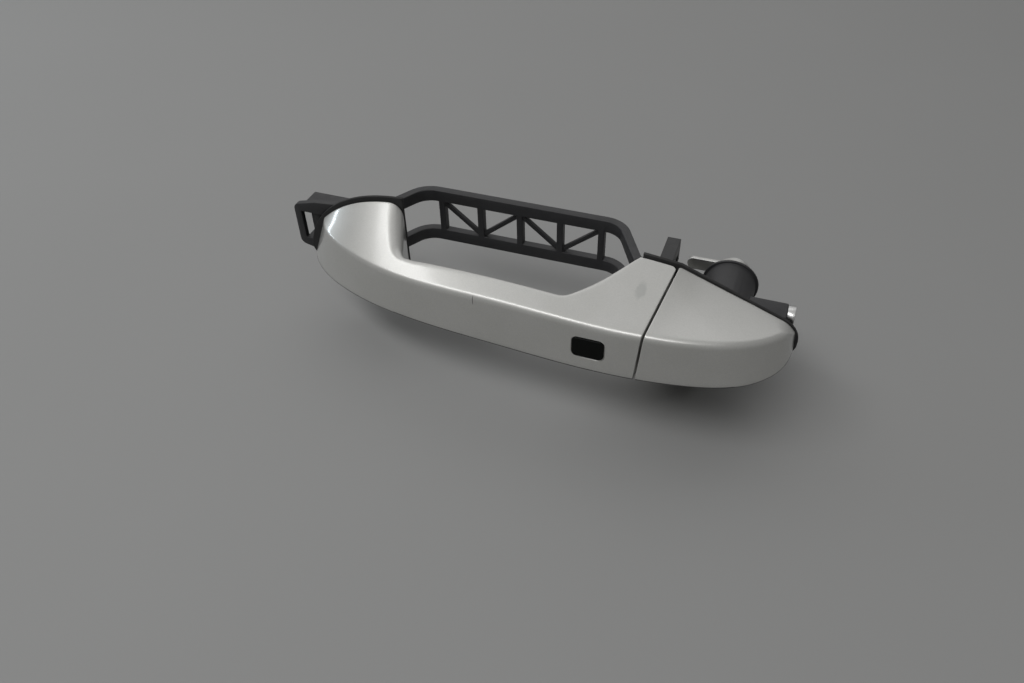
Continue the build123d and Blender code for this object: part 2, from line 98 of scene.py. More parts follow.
# %% [markdown]
# The grip and the cap are one flowing form, cut by the seam. Sculpting it by eye would drift from
# the CAD, so it is worked out from the same driving values: a line in plan at a low and at a high
# level, and an outline in elevation at the mounting face and at the face plane. Heights are over
# the handle's centre line and distances are outwards from the mounting face, in millimetres.

# %% Driving values of the painted form
MOUNT, RISE = 0.8, 28.0
KEEL, FACE_OUT = -14.4, 39.5
LOW_LEVEL, HIGH_LEVEL = KEEL - 1.6, 27.0
SEAM_X, SEAM_RAKE, SEAM_LEAN, SEAM_GAP = 58.6, 0.13, 0.08, 0.8
GRIP_BASE, CAP_BASE, WALL = 2.0, 1.5, 2.6
FACE_CREST = 39.0
# Each row has x and the distance at the low level, then at the high one.
PLAN_LINE = [(-119.3, -1, -101.5, -1), (-108.5, 11.9, -98, 8), (-90, 22.6, -85, 18.5),
             (-60, 31.2, -60, 29.2), (-10, 36.5, -10, 36.3), (34, FACE_CREST, 34, FACE_CREST),
             (72, 36, 72, 35.8), (97, 27.2, 94, 24), (108.9, 13.6, 105.2, 8.1),
             (112, -1, 109.3, -1)]
# Each row has x and the height at the mounting face, then at the face plane.
GRIP_TOP = [(61, 19.8, 53.6, 9.2), (20, 24, 20, 9.2), (-20, 26.2, -20, 7.2), (-60, 26.6, -60, 1.1),
            (-86, 23.2, -86, -5), (-106, 12, -106, -9), (-117.2, -8.8, -117.2, -11)]
CAP_END = [(112, -9.7, 112, -9.7), (111.4, -4, 111.6, 1), (106.5, 1.64, 107.5, 7.4)]
NOSE_FOOT, TAIL_FOOT = -112.6, 107.3
# The corners of the finger opening in plan.
OPENING = [(-66.0, 0.0), (-57.2, 22.0), (19.0, 26.6), (46.0, 0.0)]
OPENING_ROUND = 8.0
TOP_STEPS, END_STEPS, ARC_STEPS, PLAN_STEPS = 300, 60, 30, 600
print("painted form from", PLAN_LINE[0][0], "to", PLAN_LINE[-1][0], "with the seam at", SEAM_X)


def place_of(x, d, z):
    """A point of the frame, in metres, from x, distance outwards and height."""
    return np.array([x, -(MOUNT + d), RISE + z]) / 1000


# %% A smooth line through a few points
def flow_line(points, steps):
    """Cubic spline through the points, each span as long in its parameter as in the plane."""
    points = np.array(points, float)
    knots = np.concatenate([[0], np.cumsum(np.linalg.norm(np.diff(points, axis=0), axis=1))])
    count, spans = len(points), np.diff(knots)

    def end_slope(order):
        """Slope at the first of these points of the polynomial through all of them."""
        first, slope = order[0], 0
        for one in order[1:]:
            weight = 1 / (knots[one] - knots[first])
            for other in order[1:]:
                if other != one:
                    weight *= (knots[first] - knots[other]) / (knots[one] - knots[other])
            slope = slope + weight * (points[one] - points[first])
        return slope

    near = min(count, 4)
    system, wanted = np.zeros((count, count)), np.zeros((count, 2))
    system[0, 0] = system[-1, -1] = 1
    wanted[0] = end_slope(list(range(near)))
    wanted[-1] = end_slope(list(range(count - 1, count - 1 - near, -1)))
    for i in range(1, count - 1):
        before, after = spans[i - 1], spans[i]
        system[i, i - 1:i + 2] = 1 / before, 2 / before + 2 / after, 1 / after
        wanted[i] = 3 * ((points[i] - points[i - 1]) / before ** 2
                         + (points[i + 1] - points[i]) / after ** 2)
    slopes = np.linalg.solve(system, wanted)
    where = np.linspace(0, knots[-1], steps + 1)
    i = np.clip(np.searchsorted(knots, where, side="right") - 1, 0, count - 2)
    q, span = ((where - knots[i]) / spans[i])[:, None], spans[i][:, None]
    line = ((1 + 2 * q) * (1 - q) ** 2 * points[i] + q * (1 - q) ** 2 * span * slopes[i]
            + q ** 2 * (3 - 2 * q) * points[i + 1] + q ** 2 * (q - 1) * span * slopes[i + 1])
    return line, slopes[-1]


def arc_to(start, way, end, steps):
    """Arc that leaves start along way and reaches end."""
    start, end, way = np.array(start, float), np.array(end, float), np.array(way, float)
    chord = end - start
    half_turn = np.arctan2(way[0] * chord[1] - way[1] * chord[0], way @ chord)
    points = []
    for share in np.linspace(0, 1, steps + 1):
        reach = np.linalg.norm(chord) * sin(half_turn * share) / sin(half_turn)
        angle = np.arctan2(way[1], way[0]) + half_turn * share
        points.append(start + reach * np.array([cos(angle), sin(angle)]))
    return np.array(points)


def elevation_loop(side):
    """Outline at the mount (0) or the face plane (1): seam, nose, underside, tail, seam."""
    top, way = flow_line([(row[2 * side], row[2 * side + 1]) for row in GRIP_TOP], TOP_STEPS)
    nose = arc_to(top[-1], way, (NOSE_FOOT, KEEL), ARC_STEPS)
    over, _ = flow_line([(row[2 * side], row[2 * side + 1]) for row in CAP_END], END_STEPS)
    tail = arc_to((TAIL_FOOT, KEEL), (1, 0), over[0], ARC_STEPS)
    shares = np.linspace(0, 1, ARC_STEPS + 1)[:, None]
    back_line = over[-1] + shares * (top[0] - over[-1])
    return np.vstack([top, nose[1:], tail, over[1:], back_line[1:-1]])


# %% Ruled surfaces between the lines, as tables that are quick to read
# An entry for every 0.1 mm along the handle, and for every hundredth of the way between lines.
X_GRID, SHARES = np.linspace(-121, 116, 2371), np.linspace(-0.1, 1.1, 121)


def plan_table():
    pair = [flow_line([(row[2 * level], row[2 * level + 1]) for row in PLAN_LINE],
                      PLAN_STEPS)[0] for level in (0, 1)]
    lines = [(1 - share) * pair[0] + share * pair[1] for share in SHARES]
    return np.array([np.interp(X_GRID, line[:, 0], line[:, 1]) for line in lines])


def elevation_tables():
    pair, upper, lower = [elevation_loop(0), elevation_loop(1)], [], []
    for share in SHARES:
        loop = (1 - share) * pair[0] + share * pair[1]
        nose, tail = loop[:, 0].argmin(), loop[:, 0].argmax()
        over, under = np.vstack([loop[tail:], loop[:nose + 1]])[::-1], loop[nose:tail + 1]
        upper.append(np.interp(X_GRID, over[:, 0], over[:, 1]))
        lower.append(np.interp(X_GRID, under[:, 0], under[:, 1]))
    return np.array(upper), np.array(lower)


FACE = plan_table()
TOP, BOTTOM = elevation_tables()


def step_of(values, grid):
    """Place of values on a grid, in steps, kept just short of its last entry."""
    steps = (np.asarray(values, float) - grid[0]) / (grid[1] - grid[0])
    return np.clip(steps, 0, len(grid) - 1.001)


def read(table, share, x):
    """Value of a surface table, read between its entries."""
    across, over = step_of(share, SHARES), step_of(x, X_GRID)
    i, j = across.astype(int), over.astype(int)
    p, q = across - i, over - j
    return ((1 - p) * (1 - q) * table[i, j] + (1 - p) * q * table[i, j + 1]
            + p * (1 - q) * table[i + 1, j] + p * q * table[i + 1, j + 1])


def face_at(x, z):
    """Distance of the outer face outwards from the mounting face."""
    return read(FACE, (np.asarray(z, float) - LOW_LEVEL) / (HIGH_LEVEL - LOW_LEVEL), x)


def top_at(x, d):
    return read(TOP, np.asarray(d, float) / FACE_OUT, x)


def bottom_at(x, d):
    return read(BOTTOM, np.asarray(d, float) / FACE_OUT, x)


print("outer face in the middle", face_at(0, 0), "top over it", top_at(0, 38))

# %% [markdown]
# One section of the form is a closed ring of points: the wall of the finger opening, the lip, the
# top, the ridge, the outer face, the keel and the underside. Each corner is a true arc, because a
# highlight runs along it and would show any flat.

# %% Corners and arcs
# The number of spans in each part of a section.
SIDES = {"wall": 5, "lip": 6, "top": 8, "ridge": 7, "face": 9, "keel": 3, "under": 7, "heel": 3}
print("points round one section", sum(SIDES.values()))


def crossing(values):
    """Position, in steps, where values first fall below zero."""
    below = np.nonzero(values < 0)[0]
    last = below[0] if len(below) else len(values) - 1
    if last == 0:
        return 0.0
    return last - 1 + min(values[last - 1] / (values[last - 1] - values[last]), 1.0)


def corner_cut(corner, one, two, radius, room):
    """Length cut off a corner by its rounding, the arc's weight, and the two ways out of it."""
    a, b = one - corner, two - corner
    a, b = a / np.linalg.norm(a), b / np.linalg.norm(b)
    angle = np.arccos(np.clip(a @ b, -1, 1))
    return min(radius / tan(angle / 2), room), sin(angle / 2), a, b


def bend(start, corner, end, weight, steps):
    """Circular arc from start to end, with the corner as its middle control point."""
    t = np.linspace(0, 1, steps + 1)[:, None]
    mass = (1 - t) ** 2 + 2 * weight * t * (1 - t) + t ** 2
    return ((1 - t) ** 2 * start + 2 * weight * t * (1 - t) * corner + t ** 2 * end) / mass


# %% One section of the form
REACH, REACH_STEPS = 60, 2400  # how far a section is followed, and in how many steps
ARC_SHARE = 0.46  # of a side, the most that the arc of one corner may take


def section(inner, way, lean, rounds):
    """Points round one section. It starts at inner in plan, runs along way, and leans in x by
    lean for each millimetre upward. Rounds gives the radii of the lip, ridge, keel and heel."""
    reach = np.linspace(0, REACH, REACH_STEPS + 1)

    def x_d(s, z):
        return inner[0] + s * way[0] + lean * z, inner[1] + s * way[1]

    def height(surface):
        z = np.zeros_like(reach)
        for _ in range(4 if lean else 2):
            z = surface(*x_d(reach, z))
        return z

    def face_reach(z):
        x, d = x_d(reach, z)
        return crossing(face_at(x, z) - d) * reach[1]

    upper, lower = height(top_at), height(bottom_at)

    def top(s):
        return np.array([s, np.interp(s, reach, upper)])

    def bottom(s):
        return np.array([s, np.interp(s, reach, lower)])

    def front(z):
        return np.array([face_reach(z), z])

    ridge, keel = top(face_reach(upper)), bottom(face_reach(lower))
    lip, heel = top(0.0), bottom(0.0)
    wall_room, face_room = ARC_SHARE * (lip[1] - heel[1]), ARC_SHARE * (ridge[1] - keel[1])
    room = ARC_SHARE * ridge[0]
    t, w_lip, down, out_ward = corner_cut(lip, heel, top(1.0), rounds[0], min(room, wall_room))
    lip_from, lip_to = lip + down * t, top(out_ward[0] * t)
    t, w_ridge, in_ward, down = corner_cut(ridge, top(ridge[0] - 1), front(ridge[1] - 1),
                                           rounds[1], min(room, face_room))
    ridge_from, ridge_to = top(ridge[0] + in_ward[0] * t), front(ridge[1] + down[1] * t)
    t, w_keel, rising, in_ward = corner_cut(keel, front(keel[1] + 1), bottom(keel[0] - 1),
                                            rounds[2], min(room, face_room))
    keel_from, keel_to = front(keel[1] + rising[1] * t), bottom(keel[0] + in_ward[0] * t)
    t, w_heel, out_ward, rising = corner_cut(heel, bottom(1.0), lip, rounds[3],
                                             min(room, wall_room))
    heel_from, heel_to = bottom(out_ward[0] * t), heel + rising * t

    def spread(a, b, part):
        return np.linspace(a, b, SIDES[part] + 1)

    parts = [
        [heel_to + share * (lip_from - heel_to) for share in spread(0, 1, "wall")],
        bend(lip_from, lip, lip_to, w_lip, SIDES["lip"]),
        [top(s) for s in spread(lip_to[0], ridge_from[0], "top")],
        bend(ridge_from, ridge, ridge_to, w_ridge, SIDES["ridge"]),
        [front(z) for z in spread(ridge_to[1], keel_from[1], "face")],
        bend(keel_from, keel, keel_to, w_keel, SIDES["keel"]),
        [bottom(s) for s in spread(keel_to[0], heel_from[0], "under")],
        bend(heel_from, heel, heel_to, w_heel, SIDES["heel"]),
    ]
    flat = np.array([point for part in parts for point in list(part)[:-1]])
    x, d = x_d(flat[:, 0], flat[:, 1])
    return np.stack([x, -(MOUNT + d), RISE + flat[:, 1]], 1) / 1000


# %% Lines in plan
def rounded_line(corners, radius, steps=24):
    """Open line through corners, with its inner corners rounded."""
    points = [np.array(corners[0], float)]
    for before, corner, after in zip(corners, corners[1:], corners[2:]):
        before, corner, after = (np.array(p, float) for p in (before, corner, after))
        cut, weight, a, b = corner_cut(corner, before, after, radius, np.inf)
        points.extend(bend(corner + a * cut, corner, corner + b * cut, weight, steps))
    points.append(np.array(corners[-1], float))
    return np.array(points)


def along(line, steps):
    """Points at equal spacing along a line."""
    length = np.concatenate([[0], np.cumsum(np.linalg.norm(np.diff(line, axis=0), axis=1))])
    wanted = np.linspace(0, length[-1], steps + 1)
    return np.stack([np.interp(wanted, length, line[:, i]) for i in (0, 1)], 1)


def stretch(line, low, high):
    """The part of a plan line between two x values, ends included."""
    ends = [(x, np.interp(x, line[:, 0], line[:, 1])) for x in (low, high)]
    middle = line[(line[:, 0] > low) & (line[:, 0] < high)]
    return np.vstack([ends[:1], middle, ends[1:]])


opening_line = rounded_line(OPENING, OPENING_ROUND)
middle_face = np.stack([X_GRID, face_at(X_GRID, 0.0)], 1)
half = len(opening_line) // 2
foot_x = float(np.interp(GRIP_BASE, opening_line[:half, 1], opening_line[:half, 0]))
rear_x = float(np.interp(-GRIP_BASE, -opening_line[half:, 1], opening_line[half:, 0]))
print("opening meets the base at", round(foot_x, 2), "and", round(rear_x, 2))

# %% [markdown]
# Blender's extrude is the tool for a shell like this: a circle is added, put on the first ring,
# and its edges are extruded from ring to ring. Each piece is then one closed mesh. Lofting it with
# bridges would leave the spacing of the points to Blender, and the highlights would show it.

# %% Rings from point to point
MERGE = 0.000002  # points nearer to each other than this are one


def deselect():
    if bpy.context.object and bpy.context.object.mode != "OBJECT":
        bpy.ops.object.mode_set(mode="OBJECT")
    bpy.ops.object.select_all(action="DESELECT")


def pick(piece):
    deselect()
    piece.select_set(True)
    bpy.context.view_layer.objects.active = piece
    return piece


def ring_piece(name, rings):
    """A circle put on the first ring and extruded from ring to ring, with both ends closed."""
    deselect()
    count = len(rings[0])
    bpy.ops.mesh.primitive_circle_add(vertices=count, radius=0.01)
    piece = bpy.context.object
    piece.name = name
    for vertex, place in zip(piece.data.vertices, rings[0]):
        vertex.co = place
    bpy.ops.object.mode_set(mode="EDIT")
    bpy.ops.mesh.select_mode(type="EDGE")
    bpy.ops.mesh.select_all(action="SELECT")
    number = {index: index for index in range(count)}
    for ring in rings[1:]:
        bpy.ops.mesh.extrude_edges_move()
        mesh = bmesh.from_edit_mesh(piece.data)
        mesh.verts.index_update()
        fresh = {}
        for vertex in (v for v in mesh.verts if v.select):
            others = (edge.other_vert(vertex) for edge in vertex.link_edges)
            fresh[vertex.index] = number[next(v.index for v in others if not v.select)]
            vertex.co = ring[fresh[vertex.index]]
        number = fresh
        bmesh.update_edit_mesh(piece.data)
    bpy.ops.mesh.edge_face_add()
    bpy.ops.mesh.select_all(action="DESELECT")
    mesh = bmesh.from_edit_mesh(piece.data)
    mesh.verts.ensure_lookup_table()
    for index in range(count):
        mesh.edges.get((mesh.verts[index], mesh.verts[(index + 1) % count])).select_set(True)
    bmesh.update_edit_mesh(piece.data)
    bpy.ops.mesh.edge_face_add()
    bpy.ops.mesh.select_mode(type="VERT")
    bpy.ops.mesh.select_all(action="SELECT")
    bpy.ops.mesh.remove_doubles(threshold=MERGE)
    bpy.ops.mesh.normals_make_consistent(inside=False)
    bpy.ops.object.mode_set(mode="OBJECT")
    print(name, len(piece.data.vertices), "points")
    return piece


# %% Choosing edges and faces by their place
def bevel_where(piece, wanted, width, segments=2):
    """Bevels the edges for which wanted(edge) is true."""
    pick(piece)
    bpy.ops.object.mode_set(mode="EDIT")
    bpy.ops.mesh.select_mode(type="EDGE")
    bpy.ops.mesh.select_all(action="DESELECT")
    mesh = bmesh.from_edit_mesh(piece.data)
    found = [edge for edge in mesh.edges if wanted(edge)]
    for edge in found:
        edge.select_set(True)
    bmesh.update_edit_mesh(piece.data)
    bpy.ops.mesh.bevel(offset=width, segments=segments, affect="EDGES")
    bpy.ops.object.mode_set(mode="OBJECT")
    print(piece.name, "bevelled edges", len(found))


def on_plane(origin, normal, angle=30, near=0.00002):
    """A test for sharp edges that lie in a plane."""
    origin, normal = Vector(origin), Vector(normal).normalized()

    def test(edge):
        return (all(abs((v.co - origin).dot(normal)) < near for v in edge.verts)
                and len(edge.link_faces) == 2 and edge.calc_face_angle() > radians(angle))
    return test


def apply_modifier(piece, kind, **settings):
    """Adds a modifier with these settings and applies it."""
    pick(piece)
    made = piece.modifiers.new(kind.lower(), kind)
    for name, value in settings.items():
        setattr(made, name, value)
    bpy.ops.object.modifier_apply(modifier=made.name)
    return piece


def subdivide(piece, levels=1):
    return apply_modifier(piece, "SUBSURF", levels=levels, render_levels=levels)


def cut_away(piece, cutter):
    """Takes a cutter's volume out of a piece and deletes the cutter."""
    apply_modifier(piece, "BOOLEAN", operation="DIFFERENCE", solver="EXACT", object=cutter)
    bpy.data.objects.remove(cutter)
    print(piece.name, "after the cut", len(piece.data.polygons), "faces")


def smooth(piece, angle=30):
    pick(piece)
    bpy.ops.object.shade_smooth_by_angle(angle=radians(angle))
    return piece


# %% [markdown]
# The grip is a moulded shell that is pulled by its strap and stands on a foot at each end. Its
# rings fan round the front foot: the first one lies in the foot's base, and each next one turns
# further, until they stand across the strap. The last rings lean into the seam. The lip is widest
# at the front foot, where fingers slide in, and crisp along the strap. The corner into the seam is
# rounded too, so that the gap ends as softly as a moulding's does.

# %% The seam in plan
CORNER_R, CORNER_WEIGHT = 1.6, 0.7  # the weight is about that of a quarter circle


def seam_point(side, d):
    """Plan point of the seam's face on the grip (-1) or on the cap (1), on the centre line."""
    return np.array([SEAM_X + side * SEAM_GAP / 2 - SEAM_RAKE * d, d])


def seam_front(side):
    """Where the seam's face meets the outer face."""
    d = FACE_CREST
    for _ in range(3):
        d = float(face_at(seam_point(side, d)[0], 0.0))
    return seam_point(side, d)


def seam_corner(side, base, steps=4):
    """Rounded corner in plan from the base into the seam's face, as points on an arc."""
    corner = seam_point(side, base)
    way_in = np.array([side, 0.0]) * CORNER_R
    way_up = (seam_point(side, base + 1) - corner) * CORNER_R
    return list(bend(corner + way_in, corner, corner + way_up, CORNER_WEIGHT, steps))


# %% Rings of the grip
RIDGE_R, KEEL_R, HEEL_R, SEAM_R = 3.2, 1.0, 1.2, 0.4
LIP_STRAP, LIP_FRONT, LIP_REAR = 2.0, 6.4, 4.0  # radii of the lip in the opening
LIP_FADE = 0.85  # share of the fan over which the wide lip runs out


def ring_at(inner, outer_x, lean, rounds):
    outer = np.array([outer_x, face_at(outer_x, 0.0)])
    way = (outer - inner) / np.linalg.norm(outer - inner)
    return section(inner, way, lean, rounds)


def grip_rings():
    """Rings round the front foot, along the strap, up the rear foot and into the seam."""
    fan, strap, curve, foot = 30, 18, 18, 4  # numbers of rings
    join, bow, heel_x, ease = -49.0, 14.0, 44.0, 0.25
    nose_end = join + 1
    inner_fan = along(stretch(opening_line, foot_x, join), fan)
    nose = middle_face[(middle_face[:, 0] < nose_end) & (middle_face[:, 1] > GRIP_BASE)]
    outer_fan = along(nose, fan)
    rings = []
    for index, (inner, outer) in enumerate(zip(inner_fan[:-1], outer_fan)):
        way = np.array([-1.0, 0.0]) if index == 0 else outer - inner
        wide = 1 - min(1.0, index / fan / LIP_FADE) ** 2
        rounds = (LIP_STRAP + (LIP_FRONT - LIP_STRAP) * wide, RIDGE_R, KEEL_R, HEEL_R)
        rings.append(section(inner, way / np.linalg.norm(way), 0.0, rounds))
    for x in np.linspace(join, bow, strap + 1)[:-1]:
        inner = np.array([x, np.interp(x, opening_line[:, 0], opening_line[:, 1])])
        outer_x = nose_end + (bow - nose_end) * (x - join) / (bow - join)
        rings.append(ring_at(inner, outer_x, 0.0, (LIP_STRAP, RIDGE_R, KEEL_R, HEEL_R)))
    inner_curve = along(stretch(opening_line, bow, rear_x), curve)
    for index, inner in enumerate(inner_curve[:-1]):
        share = index / curve
        outer_x = bow + (heel_x - bow) * (share * (1 - ease) + ease * share ** 2)
        lip = (LIP_STRAP + (LIP_REAR - LIP_STRAP) * sin(pi * share) ** 2
               - (LIP_STRAP - SEAM_R) * share ** 6)
        heel = HEEL_R - (HEEL_R - SEAM_R) * share ** 6
        rings.append(ring_at(inner, outer_x, 0.0, (lip, RIDGE_R, KEEL_R, heel)))
    corner = seam_corner(-1, GRIP_BASE)
    inner_foot = list(along(np.array([[rear_x, GRIP_BASE], corner[0]]), foot)) + corner[1:]
    outer_x = np.linspace(heel_x, seam_front(-1)[0], len(inner_foot))
    for share, inner, x in zip(np.linspace(0, 1, len(inner_foot)), inner_foot, outer_x):
        rings.append(ring_at(inner, x, SEAM_LEAN * share, (SEAM_R, RIDGE_R, KEEL_R, SEAM_R)))
    return rings


grip = ring_piece("grip_shell_painted", grip_rings())

# %% [markdown]
# Paint never ends in a knife edge. The edges of the feet and of the seam are bevelled before the
# shell is subdivided, and the two close loops hold them as small roundings. Then three pockets are
# cut: one in each foot, where the black core of the grip stands flush, and one for its cover.

# %% Grip: rounded edges, then subdivided
EDGE, CAP_SEAM_EDGE = 0.0003, 0.00035  # widths of the bevels
INWARDS, SEAM_WAY = (0, 1, 0), (1, -SEAM_RAKE, -SEAM_LEAN)
bevel_where(grip, on_plane(place_of(0, GRIP_BASE, 0), INWARDS), EDGE)
bevel_where(grip, on_plane(place_of(*seam_point(-1, 0), 0), SEAM_WAY), EDGE)
subdivide(grip)

# %% Pockets of the core
FOOT_TIP, POCKET_DEEP, CUTTER_OUT = -110.0, 1.5, 1.0


def foot_ring(x_from, x_to, at_d, steps=14):
    """The base's outline between two x values, one wall in, as a ring of points at a depth."""
    xs = np.linspace(x_from, x_to, steps)
    high, low = top_at(xs, GRIP_BASE) - WALL, bottom_at(xs, GRIP_BASE) + WALL
    over = [place_of(x, at_d, z) for x, z in zip(xs, high)]
    under = [place_of(x, at_d, z) for x, z in zip(xs, low)]
    return over + under[::-1]


for x_from, x_to in ((FOOT_TIP, foot_x - WALL),
                     (rear_x + WALL, seam_point(-1, GRIP_BASE)[0] - WALL)):
    cut_away(grip, ring_piece("foot_cutter", [
        foot_ring(x_from, x_to, GRIP_BASE - CUTTER_OUT),
        foot_ring(x_from, x_to, GRIP_BASE + POCKET_DEEP)]))

# %% Window of the cover
COVER_FROM, COVER_TO, COVER_GAP, COVER_DEEP = -47.0, 13.0, 0.1, 0.4
(x_1, d_1), (x_2, d_2) = OPENING[1], OPENING[2]


def cover_ring(x):
    """A cut across the cover's window, from the finger opening through the wall of the strap."""
    d = d_1 + (d_2 - d_1) * (x - x_1) / (x_2 - x_1)
    near, far = d - CUTTER_OUT, d + WALL + COVER_DEEP
    low, high = KEEL + WALL - COVER_GAP, float(top_at(x, d)) - WALL + COVER_GAP
    return [place_of(x, near, low), place_of(x, far, low),
            place_of(x, far, high), place_of(x, near, high)]


cut_away(grip, ring_piece("cover_cutter", [
    cover_ring(x) for x in np.linspace(COVER_FROM - COVER_GAP, COVER_TO + COVER_GAP, 13)]))

# %% [markdown]
# The request button is a small black key in a pocket of the outer face. Both are stacks of the
# same rounded rectangle, so that the gap between them is even. The pocket's mouth flares, so that
# the paint rolls over its edge and shows as a thin pale rim, as on the real handle.

# %% Pocket of the request button
BUTTON_X, BUTTON_Z, BUTTON_LONG, BUTTON_HIGH, BUTTON_ROUND = 32.6, -2.3, 13.5, 9.8, 2.2
BUTTON_PROUD, BUTTON_DEEP, BUTTON_EDGE = 0.35, 4.0, 0.5
BUTTON_GAP, MOUTH = 0.12, 0.45  # clearance round the key, and the flare of the mouth


def button_ring(d, grow, corner_steps=6):
    """Rounded rectangle of the button at a distance outwards, grown by some amount."""
    radius, points = max(BUTTON_ROUND + grow, 0.3), []
    half_long, half_high = BUTTON_LONG / 2 + grow - radius, BUTTON_HIGH / 2 + grow - radius
    for turn_index, (side, level) in enumerate(((1, 1), (-1, 1), (-1, -1), (1, -1))):
        for step in range(corner_steps + 1):
            angle = (turn_index + step / corner_steps) * pi / 2
            points.append(place_of(BUTTON_X + side * half_long + radius * cos(angle), d,
                                   BUTTON_Z + level * half_high + radius * sin(angle)))
    return points


pocket = [(FACE_CREST - BUTTON_DEEP + 0.1, BUTTON_GAP), (FACE_CREST - MOUTH, BUTTON_GAP)]
pocket += [(FACE_CREST - MOUTH * cos(a), BUTTON_GAP + MOUTH * (1 - cos(a)))
           for a in np.linspace(pi / 8, pi / 2, 4)]
pocket += [(FACE_CREST + 0.5, 0.75)]
cut_away(grip, ring_piece("button_cutter", [button_ring(d, grow) for d, grow in pocket]))

# %% Request button, with a slight hollow in its face
top_of_key = FACE_CREST + BUTTON_PROUD
profile = [(FACE_CREST - BUTTON_DEEP + 0.2, 0.0), (top_of_key - BUTTON_EDGE - 0.1, 0.0)]
profile += [(top_of_key - BUTTON_EDGE * (1 - sin(a)), -BUTTON_EDGE * (1 - cos(a)))
            for a in np.linspace(0, pi / 2, 6)]
profile += [(top_of_key, -1.0), (top_of_key - 0.02, -1.8), (top_of_key - 0.05, -3.2)]
button = ring_piece("request_button_key", [button_ring(d, grow) for d, grow in profile])

# %% [markdown]
# The cap is fixed, hides the lock's housing and carries the grip's lines on to the tail. So it is
# built the same way: it starts at the same seam, and its rings fan the other way round, until the
# last one lies in its base.

# %% Cap
def cap_rings():
    """Rings from the seam, over which they stop leaning, and round the tail."""
    straight, fan, last_x = 13, 30, 93.0
    front_end = seam_front(1)
    rear = middle_face[(middle_face[:, 0] > front_end[0]) & (middle_face[:, 1] > CAP_BASE)]
    corner = seam_corner(1, CAP_BASE)[::-1]
    base_steps = straight + fan + 1 - len(corner)
    along_base = along(np.array([corner[-1], [last_x, CAP_BASE]]), base_steps)
    inner_line = corner + list(along_base[1:])
    outer_line = along(np.vstack([[front_end], rear]), straight + fan)
    rings = []
    for index, (inner, outer) in enumerate(zip(inner_line, outer_line)):
        way = np.array([1.0, 0.0]) if index == straight + fan else outer - inner
        lean = SEAM_LEAN * max(0.0, 1 - index / straight)
        rings.append(section(inner, way / np.linalg.norm(way), lean,
                             (SEAM_R, RIDGE_R, KEEL_R, SEAM_R)))
    return rings


cap = ring_piece("cap_painted", cap_rings())
bevel_where(cap, on_plane(place_of(0, CAP_BASE, 0), INWARDS), EDGE)
bevel_where(cap, on_plane(place_of(*seam_point(1, 0), 0), SEAM_WAY), CAP_SEAM_EDGE)
subdivide(cap)

for piece in (grip, cap, button):
    smooth(piece)

# %% [markdown]
# A black hair line runs along the lower half of the keel's rounding, from the nose to the tail.
# On the grip it is partly the edge of the black core and partly painted shade under the keel; on
# the cap it is painted shadow only. A curve laid there by eye would sink into the shell or float
# over it. Copying the lowest faces of the keel's rounding and giving them a little thickness keeps
# it exactly in place.

# %% Black hair line along the keel: part core edge, part painted shadow
LINE_HIGH, LINE_DEEP, LINE_THICK = 2.5, 2.5, 0.1
BASE_CLEAR = 0.8  # how far the line stays from the base of its piece
FACING_DOWN, FACING_IN, FACING_END = (-0.97, -0.3), 0.45, 0.999  # limits of a face's normal


def near_face(place):
    """True near the outer face, so that the heel and the seam are left alone."""
    x, d = place.x * 1000, -place.y * 1000 - MOUNT
    return d > float(face_at(x, KEEL)) - LINE_DEEP


def keel_core_and_shadow_line(source, name, base):
    """A strip over the lower half of the keel's rounding, as a piece of its own."""
    piece = bpy.data.objects.new(name, source.data.copy())
    bpy.context.scene.collection.objects.link(piece)
    pick(piece)
    bpy.ops.object.mode_set(mode="EDIT")
    bpy.ops.mesh.select_mode(type="FACE")
    bpy.ops.mesh.select_all(action="DESELECT")
    mesh = bmesh.from_edit_mesh(piece.data)
    highest, nearest = (RISE + KEEL + LINE_HIGH) / 1000, -(MOUNT + base + BASE_CLEAR) / 1000
    for face in mesh.faces:
        place, normal = face.calc_center_median(), face.normal
        low = place.z < highest and place.y < nearest and near_face(place)
        face.select_set(low and FACING_DOWN[0] < normal.z < FACING_DOWN[1]
                        and normal.y < FACING_IN and abs(normal.x) < FACING_END)
    bmesh.update_edit_mesh(piece.data)
    bpy.ops.mesh.select_all(action="INVERT")
    bpy.ops.mesh.delete(type="FACE")
    bpy.ops.object.mode_set(mode="OBJECT")
    apply_modifier(piece, "SOLIDIFY", thickness=LINE_THICK / 1000, offset=1.0)
    print(name, len(piece.data.polygons), "faces")
    return smooth(piece, 50)


# The cap's line is painted shadow; the grip's is partly the core's edge, partly painted shade.
keel_core_and_shadow_lines = {"grip": keel_core_and_shadow_line(grip, "grip_keel_core_and_shadow", GRIP_BASE),
              "carrier": keel_core_and_shadow_line(cap, "cap_keel_painted_shadow", CAP_BASE)}

# %% [markdown]
# The moulded and cast parts are already right in the CAD, but their edges are knife sharp, and
# real mouldings catch the light on small roundings. A copy of each mesh is merged, its flat
# triangles are joined and its edges are bevelled. The CAD nodes keep their own meshes.

# %% Rounded copies of the inner parts
def rounded_copy(node, name, width, segments=2, limit=34):
    piece = bpy.data.objects.new(name, frame["nodes"][node].data.copy())
    bpy.context.scene.collection.objects.link(piece)
    pick(piece)
    bpy.ops.object.mode_set(mode="EDIT")
    bpy.ops.mesh.select_all(action="SELECT")
    bpy.ops.mesh.remove_doubles(threshold=MERGE)
    bpy.ops.mesh.dissolve_limited(angle_limit=radians(0.5))
    bpy.ops.object.mode_set(mode="OBJECT")
    apply_modifier(piece, "BEVEL", width=width / 1000, segments=segments, limit_method="ANGLE",
                   angle_limit=radians(limit), use_clamp_overlap=False)
    smooth(piece, 36)
    piece.data.materials.clear()
    print(name, len(piece.data.polygons), "faces")
    return piece


